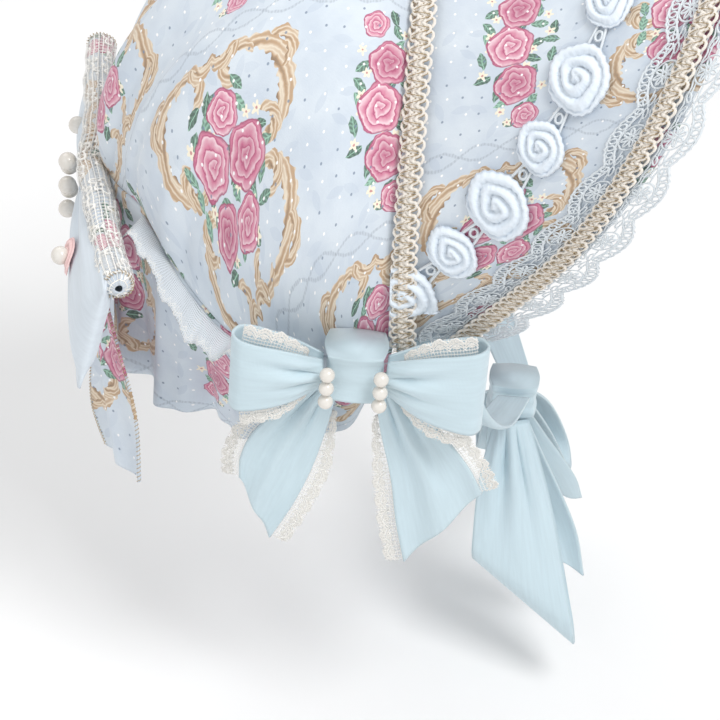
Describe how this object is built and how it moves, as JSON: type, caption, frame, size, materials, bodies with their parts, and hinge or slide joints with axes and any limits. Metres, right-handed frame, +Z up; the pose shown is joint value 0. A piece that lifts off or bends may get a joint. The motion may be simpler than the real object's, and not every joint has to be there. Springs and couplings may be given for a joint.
{
  "type": "bonnet",
  "caption": "Gathered print bonnet with a puffed crown, flared brim, nape frill, lace and braid trims, ribbon bows at the ears and back, pearls, and chin ties.",
  "frame": {"origin": "middle of the wearer's head between the ears, where the head holds the bonnet up (mount head_seat)", "axes": "+Z up, the wearer looks along -Y, +X is the wearer's left; the two halves are mirror images across X = 0 apart from the crown's folds"},
  "size_m": [0.2574, 0.2793, 0.3926],
  "materials": {
    "print_cotton": "printed cotton, matte",
    "chiffon": "pale blue chiffon",
    "ivory_lace": "ivory lace",
    "blue_lace": "pale blue embroidered lace",
    "gilt_braid": "cream and gold plaited braid",
    "pearl": "pearlescent"
  },
  "bodies": {
    "root": {"back_bow_knot": "print_cotton", "back_bow_left_loop": "print_cotton", "back_bow_left_pearl": "pearl", "back_bow_left_tail": "print_cotton", "back_bow_pearl_1": "pearl", "back_bow_pearl_2": "pearl", "back_bow_pearl_3": "pearl", "back_bow_pearl_4": "pearl", "back_bow_pearl_5": "pearl", "back_bow_right_loop": "print_cotton", "back_bow_right_pearl": "pearl", "back_bow_right_tail": "print_cotton", "brim": "print_cotton", "chin_knot": "chiffon", "chin_left_loop": "chiffon", "chin_left_tail": "chiffon", "chin_right_loop": "chiffon", "chin_right_tail": "chiffon", "chin_tie_left": "chiffon", "chin_tie_right": "chiffon", "crown": "print_cotton", "edge_braid": "gilt_braid", "edge_lace": "blue_lace", "left_bow_back_loop": "chiffon", "left_bow_back_loop_lace": "ivory_lace", "left_bow_back_pearl_1": "pearl", "left_bow_back_pearl_2": "pearl", "left_bow_back_pearl_3": "pearl", "left_bow_back_tail": "chiffon", "left_bow_back_tail_lace": "ivory_lace", "left_bow_band": "chiffon", "left_bow_front_loop": "chiffon", "left_bow_front_loop_lace": "ivory_lace", "left_bow_front_pearl_1": "pearl", "left_bow_front_pearl_2": "pearl", "left_bow_front_pearl_3": "pearl", "left_bow_front_tail": "chiffon", "left_bow_front_tail_lace": "ivory_lace", "left_nape_edging": "ivory_lace", "nape_frill": "print_cotton", "right_bow_back_loop": "chiffon", "right_bow_back_loop_lace": "ivory_lace", "right_bow_back_pearl_1": "pearl", "right_bow_back_pearl_2": "pearl", "right_bow_back_pearl_3": "pearl", "right_bow_back_tail": "chiffon", "right_bow_back_tail_lace": "ivory_lace", "right_bow_band": "chiffon", "right_bow_front_loop": "chiffon", "right_bow_front_loop_lace": "ivory_lace", "right_bow_front_pearl_1": "pearl", "right_bow_front_pearl_2": "pearl", "right_bow_front_pearl_3": "pearl", "right_bow_front_tail": "chiffon", "right_bow_front_tail_lace": "ivory_lace", "right_nape_edging": "ivory_lace", "rose_lace": "blue_lace", "seam_braid": "gilt_braid"}
  },
  "joints": []
}
